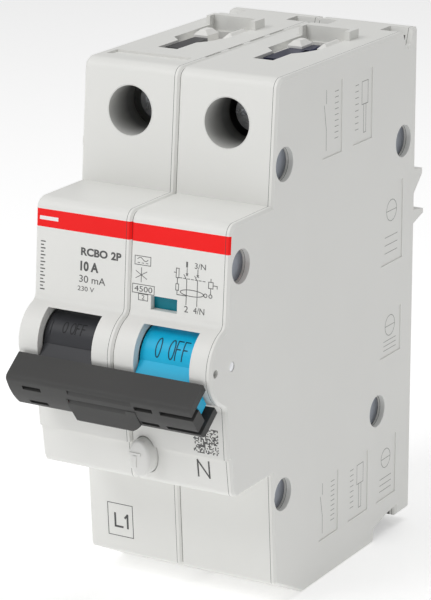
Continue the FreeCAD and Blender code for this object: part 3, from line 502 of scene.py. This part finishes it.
def letterMesh(text, size, width, thick, bold):
    # built-in lettering as a closed slab of triangles: squeezed to a width, its foot at zero
    curve = bpy.data.curves.new("letters", "FONT")
    curve.body = text
    curve.size = size
    curve.extrude = thick / 2
    curve.resolution_u = 4
    curve.offset = bold * size
    holder = bpy.data.objects.new("letters", curve)
    scene.collection.objects.link(holder)
    mesh = bpy.data.meshes.new_from_object(holder)
    bpy.data.objects.remove(holder)
    bpy.data.curves.remove(curve)
    slab = bmesh.new()
    slab.from_mesh(mesh)
    bmesh.ops.remove_doubles(slab, verts=slab.verts, dist=size * 1e-4)
    bmesh.ops.triangulate(slab, faces=slab.faces)
    slab.to_mesh(mesh)
    slab.free()
    points = np.empty(len(mesh.vertices) * 3)
    mesh.vertices.foreach_get("co", points)
    points = points.reshape(-1, 3)
    faces = np.empty(len(mesh.loops), dtype=np.int32)
    mesh.loops.foreach_get("vertex_index", faces)
    bpy.data.meshes.remove(mesh)
    points[:, 0] -= points[:, 0].min()
    points[:, 1] -= points[:, 1].min()
    points[:, 0] *= width / points[:, 0].max()
    points[:, 1] *= size / points[:, 1].max()
    return points, faces.reshape(-1, 3).tolist()


def gather(parts):
    # several lots of points and faces as one, each lot's faces counted on from the lot before
    points, faces, count = [], [], 0
    for somePoints, someFaces in parts:
        points.append(somePoints)
        faces += (np.asarray(someFaces) + count).tolist()
        count += len(somePoints)
    return np.concatenate(points), faces


def words(text, left, low, high, width, bold=0.0):
    points, faces = letterMesh(text, high - low, width, 2 * printHeight, bold)
    return points + (left, low, 0), faces


def slabs(corners, sink, proud):
    # flat plates of four corners each: the corners stand at two heights, and six faces join them
    low = np.concatenate([corners, np.full((*corners.shape[:2], 1), -sink)], axis=2)
    high = np.concatenate([corners, np.full((*corners.shape[:2], 1), proud)], axis=2)
    points = np.concatenate([low, high], axis=1).reshape(-1, 3)
    sides = np.array([(0, 3, 2, 1), (4, 5, 6, 7), (0, 1, 5, 4), (1, 2, 6, 5), (2, 3, 7, 6), (3, 0, 4, 7)])
    faces = 8 * np.arange(len(corners))[:, None, None] + sides
    return points, faces.reshape(-1, 4).tolist()


def strokes(paths, width, sink=printHeight, proud=printHeight, step=1.0):
    # each straight run is a slab: its corners are the ends moved half a width along and half a
    # width to both sides; long runs are split so that they follow the surface
    starts, ends = [], []
    for path in paths:
        path = np.asarray(path, float)
        for start, end in zip(path[:-1], path[1:]):
            pieces = max(1, int(np.ceil(np.linalg.norm(end - start) / step)))
            marks = np.linspace(start, end, pieces + 1)
            starts.append(marks[:-1])
            ends.append(marks[1:])
    starts, ends = np.concatenate(starts), np.concatenate(ends)
    along = ends - starts
    along /= np.linalg.norm(along, axis=1, keepdims=True)
    across = np.stack([-along[:, 1], along[:, 0]], axis=1)
    half = width / 2
    corners = np.stack([starts - along * half - across * half, ends + along * half - across * half,
                        ends + along * half + across * half, starts - along * half + across * half], axis=1)
    return slabs(corners, sink, proud)


def ring(centre, halfWidth, halfHeight, count=20):
    # the centre plus the half width times the cosine and the half height times the sine of a full turn
    turn = np.linspace(0, 2 * math.pi, count + 1)
    return np.stack([centre[0] + halfWidth * np.cos(turn), centre[1] + halfHeight * np.sin(turn)], axis=1)


def boxPath(left, right, low, high):
    return [(left, low), (right, low), (right, high), (left, high), (left, low)]


def wave(left, right, middle, rise, count=12):
    # one full sine from left to right, rising and falling about the middle
    turn = np.linspace(0, 2 * math.pi, count + 1)
    return np.stack([np.linspace(left, right, count + 1), middle + rise * np.sin(turn)], axis=1)


# one plain white bar in the red band
bandMark = {"left": -16.9, "right": -14.0, "height": 19.12, "line": 0.6, "step": 3}
points, faces = strokes([[(bandMark["left"], bandMark["height"]), (bandMark["right"], bandMark["height"])]],
                        bandMark["line"], step=bandMark["step"])
addPiece("bandMark", onFront(points), faces, finishes["whiteInk"], "casing")

# rating lines on the left module, with plain values, and a scale of ticks at its edge
ratingPrint = {
    "lines": [
        # words, left, foot, top, width, boldness
        ("RCBO", -9.25, 14.0, 15.3, 5.0, 0.035),
        ("2P", -3.6, 14.0, 15.3, 1.9, 0.035),
        ("10 A", -9.3, 11.5, 13.1, 3.4, 0.04),
        ("30 mA", -9.45, 9.65, 10.8, 4.9, 0.0),
        ("230 V", -9.7, 8.25, 9.0, 3.1, 0.0),
    ],
    # every second tick is shorter on its right
    "ticks": {"across": -16.45, "low": 7.5, "high": 15.3, "count": 15, "half": 0.35, "shorter": 0.3,
              "line": 0.18},
}
tick = ratingPrint["ticks"]
heights = np.linspace(tick["low"], tick["high"], tick["count"])
reaches = tick["half"] - tick["shorter"] * (np.arange(tick["count"]) % 2)
parts = [words(*line) for line in ratingPrint["lines"]]
parts.append(strokes([[(tick["across"] - tick["half"], height), (tick["across"] + reach, height)]
                      for height, reach in zip(heights, reaches)], tick["line"]))
points, faces = gather(parts)
addPiece("ratingPrint", onFront(points), faces, finishes["ink"], "casing")

# symbols on the right module: current kind, cold weather, breaking capacity and its class
symbolPrint = {
    "line": 0.10,
    # left, right, foot and top of the three frames
    "wave": (0.85, 3.75, 14.0, 15.4), "capacity": (0.55, 4.55, 9.45, 10.85), "class": (1.7, 3.4, 8.35, 9.35),
    "waveInset": 0.5, "waveLift": 0.2, "waveRise": 0.28,
    "dashes": (1.4, 2.15, 2.9), "dashLength": 0.35, "dashDrop": 0.38,
    "star": (2.1, 12.4), "starReach": 1.15, "starArms": (30, 90, 150),
    # number, and its room at the sides and at foot and top
    "capacityNumber": ("4500", 0.35, 0.25), "classNumber": ("2", 0.6, 0.15),
}


def framedNumber(frame, number):
    left, right, low, high = frame
    text, sideRoom, endRoom = number
    return words(text, left + sideRoom, low + endRoom, high - endRoom, right - left - 2 * sideRoom)


left, right, low, high = symbolPrint["wave"]
middle = (low + high) / 2
paths = [boxPath(*symbolPrint[key]) for key in ("wave", "capacity", "class")]
paths.append(wave(left + symbolPrint["waveInset"], right - symbolPrint["waveInset"],
                  middle + symbolPrint["waveLift"], symbolPrint["waveRise"]))
paths += [[(start, middle - symbolPrint["dashDrop"]),
           (start + symbolPrint["dashLength"], middle - symbolPrint["dashDrop"])]
          for start in symbolPrint["dashes"]]
star = np.array(symbolPrint["star"])
for angle in np.radians(symbolPrint["starArms"]):
    arm = symbolPrint["starReach"] * np.array([np.cos(angle), np.sin(angle)])
    paths.append([star - arm, star + arm])
points, faces = gather([framedNumber(symbolPrint["capacity"], symbolPrint["capacityNumber"]),
                        framedNumber(symbolPrint["class"], symbolPrint["classNumber"]),
                        strokes(paths, symbolPrint["line"])])
addPiece("symbolPrint", onFront(points), faces, finishes["ink"], "casing")

# circuit diagram: two switched poles through a summation ring, with the trips and the test loop
circuitPrint = {
    "line": 0.11,
    "poles": (10.4, 12.35), "top": 14.6, "low": 8.8,
    "contact": 13.6, "crossHalf": 0.16, "pivot": 12.75, "blade": (-0.55, 13.55),
    "ring": (11.4, 10.75, 2.1, 0.5),  # across, height, half width, half height
    "eyes": (13.85, 14.75), "eyeHalf": 0.28,
    "boxes": [(14.35, 15.15, 12.0, 13.0), (8.45, 8.95, 12.9, 14.4), (8.45, 8.95, 10.9, 11.9)],
    "wires": [
        [(14.75, 11.05), (14.75, 12.0)],
        [(14.75, 13.0), (14.75, 13.5)],
        [(15.15, 12.5), (15.9, 12.5), (15.9, 12.1)],
        [(8.7, 12.9), (8.7, 11.9)],
        [(8.7, 10.9), (8.7, 10.2), (10.4, 10.2)],
        [(8.1, 13.7), (8.45, 13.7)],
    ],
    "dashes": (9.1, 13.3, 7), "dashHeight": 12.95, "dashLength": 0.4,
    # text, left, foot, top, width
    "labels": [("1", 10.2, 14.75, 15.65, 0.3), ("3/N", 11.75, 14.75, 15.65, 2.0),
               ("2", 10.1, 7.6, 8.6, 0.7), ("4/N", 11.75, 7.6, 8.6, 2.0)],
}
paths = []
contact, pivot, half = (circuitPrint[key] for key in ("contact", "pivot", "crossHalf"))
bladeShift, bladeTop = circuitPrint["blade"]
for pole in circuitPrint["poles"]:
    paths += [[(pole, circuitPrint["top"]), (pole, contact)], [(pole, pivot), (pole + bladeShift, bladeTop)],
              [(pole, pivot), (pole, circuitPrint["low"])],
              [(pole - half, contact + half), (pole + half, contact - half)],
              [(pole - half, contact - half), (pole + half, contact + half)]]
middle, height, halfWidth, halfHeight = circuitPrint["ring"]
eyeHalf = circuitPrint["eyeHalf"]
paths.append(ring((middle, height), halfWidth, halfHeight, 24))
paths += [ring((eye, height), eyeHalf, eyeHalf, 12) for eye in circuitPrint["eyes"]]
paths += [boxPath(*box) for box in circuitPrint["boxes"]]
paths += circuitPrint["wires"]
height, length = circuitPrint["dashHeight"], circuitPrint["dashLength"]
paths += [[(start, height), (start + length, height)] for start in np.linspace(*circuitPrint["dashes"])]
parts = [strokes(paths, circuitPrint["line"])]
parts += [words(*label) for label in circuitPrint["labels"]]
points, faces = gather(parts)
addPiece("circuitPrint", onFront(points), faces, finishes["ink"], "casing")

# a square of dots under the tie bar's right end, in no code: a random draw fills some of its cells
dotPattern = {"left": 11.6, "right": 16.2, "low": -15.4, "high": -11.0, "count": 21, "fill": 0.46, "seed": 5,
              "margin": 0.04, "sink": 0.02, "proud": 0.015}
count = dotPattern["count"]
filled = np.random.default_rng(dotPattern["seed"]).random((count, count)) < dotPattern["fill"]
rows, columns = np.nonzero(filled)
origin = np.array([dotPattern["left"], dotPattern["low"]])
cell = (np.array([dotPattern["right"], dotPattern["high"]]) - origin) / count
near, far = dotPattern["margin"], 1 - dotPattern["margin"]
square = np.array([(near, near), (far, near), (far, far), (near, far)])
corners = origin + cell * (np.stack([columns, rows], axis=1)[:, None, :] + square)
points, faces = slabs(corners, dotPattern["sink"], dotPattern["proud"])
addPiece("dotPattern", onFront(points), faces, finishes["ink"], "casing")

# pole marks
poleMark = {"left": 11.8, "right": 13.85, "low": -19.8, "high": -17.0, "line": 0.27}
left, right, low, high = (poleMark[key] for key in ("left", "right", "low", "high"))
points, faces = strokes([[(left, low), (left, high), (right, low), (right, high)]], poleMark["line"])
addPiece("poleMark", onFront(points), faces, finishes["ink"], "casing")

# letter and numeral in a frame; the numeral's tip starts to the left of its stem and below its top
lineMark = {"frame": (-14.3, -9.4, -39.6, -33.7), "frameLine": 0.12, "letter": (-12.9, -11.5, -37.9, -35.6),
            "stem": -10.45, "tip": (0.45, 0.5), "line": 0.36, "step": 3}
left, right, low, high = lineMark["letter"]
stem = lineMark["stem"]
tipAcross, tipDrop = lineMark["tip"]
points, faces = gather([
    strokes([[(left, high), (left, low), (right, low)],
             [(stem - tipAcross, high - tipDrop), (stem, high), (stem, low)]],
            lineMark["line"], step=lineMark["step"]),
    strokes([boxPath(*lineMark["frame"])], lineMark["frameLine"])])
addPiece("lineMark", onFront(points), faces, finishes["ink"], "casing")
print("front prints added")

# off and on marks round the two drums, in thin strokes: angles in degrees from the drum's front line,
# letter parts as shares of a letter's width
toggleMarks = {
    "blue": {"zero": (6.72, 7.6), "word": (9.1, 12.45), "off": (14, 51), "on": (-124, -90)},
    "dark": {"zero": (-10.75, -10.0), "word": (-9.3, -6.6), "off": (28, 49), "on": (-124, -94)},
    # line, sink, proud and step of the strokes
    "blueStroke": (0.20, 0.03, 0.02, 0.25), "darkOffStroke": (0.17, -0.05, 0.14, 0.25),
    "darkOnStroke": (0.17, 0.03, 0.03, 0.25),
    "offLetters": 3.5, "offStarts": (1.3, 2.6), "head": 0.85, "bar": 0.7, "barLift": 0.1,
    "onLetters": 2.6, "onStart": 1.5,
}


def markFrame(place, angles):
    # foot, head, middle and half height as lengths round the drum, then the numeral's middle
    foot, head = np.radians(angles) * drumShape["radius"]
    return foot, head, (foot + head) / 2, (head - foot) / 2, sum(place["zero"]) / 2


def offPaths(place):
    foot, head, middle, half, zero = markFrame(place, place["off"])
    zeroLeft, zeroRight = place["zero"]
    wordLeft, wordRight = place["word"]
    letter = (wordRight - wordLeft) / toggleMarks["offLetters"]
    barHeight = middle + toggleMarks["barLift"] * half
    paths = [ring((zero, middle), (zeroRight - zeroLeft) / 2, half, 24),
             ring((wordLeft + letter / 2, middle), letter / 2, half, 24)]
    for start in (wordLeft + share * letter for share in toggleMarks["offStarts"]):
        paths += [[(start, foot), (start, head), (start + toggleMarks["head"] * letter, head)],
                  [(start, barHeight), (start + toggleMarks["bar"] * letter, barHeight)]]
    return paths


def onPaths(place):
    foot, head, middle, half, zero = markFrame(place, place["on"])
    wordLeft, wordRight = place["word"]
    letter = (wordRight - wordLeft) / toggleMarks["onLetters"]
    start = wordLeft + toggleMarks["onStart"] * letter
    end = start + toggleMarks["head"] * letter
    return [[(zero, foot), (zero, head)], ring((wordLeft + letter / 2, middle), letter / 2, half, 24),
            [(start, foot), (start, head), (end, foot), (end, head)]]


blue = toggleMarks["blue"]
points, faces = strokes(offPaths(blue) + onPaths(blue), *toggleMarks["blueStroke"])
addPiece("blueToggleMark", onDrum(points), faces, finishes["blueMark"], "handle")

# the dark drum's raised panel with a rib beside it: left, right, low and high angle, sink, proud,
# columns and rows of each
darkPanel = {"panel": (-12.8, -4.8, 5, 52, 0.1, 0.11, 4, 16),
             "rib": (-13.3, -12.95, 20, 48, 0.1, 0.10, 1, 10)}


def patch(left, right, low, high, sink, proud, columns, rows):
    # a closed curved plate: a grid in across and in angle times the drum's radius, once sunk and once
    # proud; the cells of both skins are faces, and so is every edge of the rim
    across = np.linspace(left, right, columns + 1)
    along = np.radians(np.linspace(low, high, rows + 1)) * drumShape["radius"]
    grid = np.stack(np.meshgrid(across, along), axis=-1).reshape(-1, 2)
    skins = [np.concatenate([grid, np.full((len(grid), 1), level)], axis=1) for level in (-sink, proud)]
    number = np.arange(len(grid)).reshape(rows + 1, columns + 1)
    cells = np.stack([number[:-1, :-1], number[:-1, 1:], number[1:, 1:], number[1:, :-1]], axis=-1)
    cells = cells.reshape(-1, 4)
    rim = np.concatenate([number[0], number[1:, -1], number[-1, -2::-1], number[-2:0:-1, 0]])
    following = np.roll(rim, -1)
    walls = np.stack([rim, following, following + len(grid), rim + len(grid)], axis=1)
    return np.concatenate(skins), np.concatenate([cells[:, ::-1], cells + len(grid), walls]).tolist()


points, faces = gather([patch(*darkPanel["panel"]), patch(*darkPanel["rib"])])
addPiece("darkTogglePanel", onDrum(points), faces, finishes["charcoal"], "handle")
dark = toggleMarks["dark"]
points, faces = gather([strokes(offPaths(dark), *toggleMarks["darkOffStroke"]),
                        strokes(onPaths(dark), *toggleMarks["darkOnStroke"])])
addPiece("darkToggleMark", onDrum(points), faces, finishes["darkRelief"], "handle")
print("toggle marks added")

# the raised letter on the test button
buttonMark = {"across": (0.72, 2.75), "head": -17.05, "foot": -19.0, "stemDrop": 0.4, "line": 0.5,
              "face": -66.5, "sink": 0.05, "proud": 0.16, "step": 3}
left, right = buttonMark["across"]
middle = (left + right) / 2
half = buttonMark["line"] / 2
head = buttonMark["head"]
points, faces = strokes([[(left + half, head), (right - half, head)],
                         [(middle, head - buttonMark["stemDrop"]), (middle, buttonMark["foot"])]],
                        buttonMark["line"], buttonMark["sink"], buttonMark["proud"], buttonMark["step"])
placed = np.stack([points[:, 0], buttonMark["face"] - points[:, 2], points[:, 1]], axis=1)
addPiece("buttonMark", placed, faces, finishes["button"], "button")

# the test button's spring: a round wire whose middle line turns at a
# radius and moves along y by one pitch a turn, with a flat cap at both ends
testCoil = {"across": 2.35, "height": -17.7, "front": -60.62, "rear": -56.5, "radius": 1.4, "wire": 0.18,
            "turns": 4.5, "steps": 200, "sides": 12, "keep": 0.64}
share = np.linspace(0, 1, testCoil["steps"] + 1)
turn = share * testCoil["turns"] * 2 * math.pi
outward = np.stack([np.cos(turn), np.zeros_like(turn), np.sin(turn)], axis=1)
middle = outward * testCoil["radius"] + np.stack([
    np.full_like(turn, testCoil["across"]),
    testCoil["front"] + share * (testCoil["rear"] - testCoil["front"]),
    np.full_like(turn, testCoil["height"])], axis=1)
forward = np.gradient(middle, axis=0)
forward /= np.linalg.norm(forward, axis=1, keepdims=True)
sideways = np.cross(forward, outward)
around = np.linspace(0, 2 * math.pi, testCoil["sides"], endpoint=False)
points = middle[:, None, :] + testCoil["wire"] * (outward[:, None, :] * np.cos(around)[None, :, None]
                                                  + sideways[:, None, :] * np.sin(around)[None, :, None])
points = points.reshape(-1, 3)
sides, steps = testCoil["sides"], testCoil["steps"]
row, column = (grid.ravel() for grid in np.meshgrid(np.arange(steps), np.arange(sides), indexing="ij"))
following = (column + 1) % sides
faces = np.stack([row * sides + column, row * sides + following,
                  (row + 1) * sides + following, (row + 1) * sides + column], axis=1).tolist()
faces += [list(range(sides)), list(range(steps * sides, (steps + 1) * sides))]
coil = addPiece("testCoil", points, faces, finishes["spring"], "casing")
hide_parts("test_spring")
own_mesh(coil)

# fine symbols in the frames of the right side, plain shapes: each kind's points are shares of its
# frame's width and height, and each frame is left, right, foot and top
sideSymbols = {
    "line": 0.10, "sink": 0.28, "proud": -0.14, "step": 4,
    "frames": [("switch", -34.2, -27.5, 26.4, 38.6), ("wire", -23.5, -16.7, 26.5, 38.6),
               ("round", -12.5, -4.65, 2.8, 16.85), ("round", -12.3, -4.7, -13.9, -5.8),
               ("switch", -34.3, -27.45, -40, -29.1), ("wire", -23.7, -16.45, -40, -29),
               ("round", -12.9, -5.7, -40.1, -29)],
    # runs, boxes, and rows of short lines from one share of the width to another at each height
    "switch": {"runs": [[(0.22, 0.74), (0.22, 0.92)]], "boxes": [],
               "rows": (0.66, 0.84, np.linspace(0.22, 0.86, 9))},
    "wire": {"runs": [], "boxes": [(0.48, 0.8, 0.52, 0.84), (0.58, 0.7, 0.12, 0.52)],
             "rows": (0.14, 0.3, np.linspace(0.2, 0.82, 8))},
    "round": {"runs": [[(0.26, 0.66), (0.74, 0.66)]], "boxes": [], "rows": (0.2, 0.8, (0.14, 0.24, 0.34))},
    "blade": [(0.22, 0.1), (0.22, 0.38), (0.02, 0.72)], "bladeShift": 0.6,  # the blade's end, in mm further
    "circle": (0.5, 0.66, 0.24),
}
paths = []
for kind, left, right, low, high in sideSymbols["frames"]:
    corner, size = np.array([left, low]), np.array([right - left, high - low])
    shape = sideSymbols[kind]
    paths += [corner + np.array(run) * size for run in shape["runs"]]
    paths += [corner + np.array(boxPath(*box)) * size for box in shape["boxes"]]
    first, last, heights = shape["rows"]
    paths += [corner + np.array([(first, height), (last, height)]) * size for height in heights]
    if kind == "switch":
        blade = corner + np.array(sideSymbols["blade"]) * size
        blade[-1, 0] += sideSymbols["bladeShift"]
        paths.append(blade)
    if kind == "round":
        across, height, half = sideSymbols["circle"]
        paths.append(ring(corner + (across, height) * size, half * size[0], half * size[0], 24))
points, faces = strokes(paths, sideSymbols["line"], sideSymbols["sink"], sideSymbols["proud"],
                        sideSymbols["step"])
addPiece("sideSymbols", onSide(points), faces, finishes["engraved"], "casing")
print("button and side symbols added")
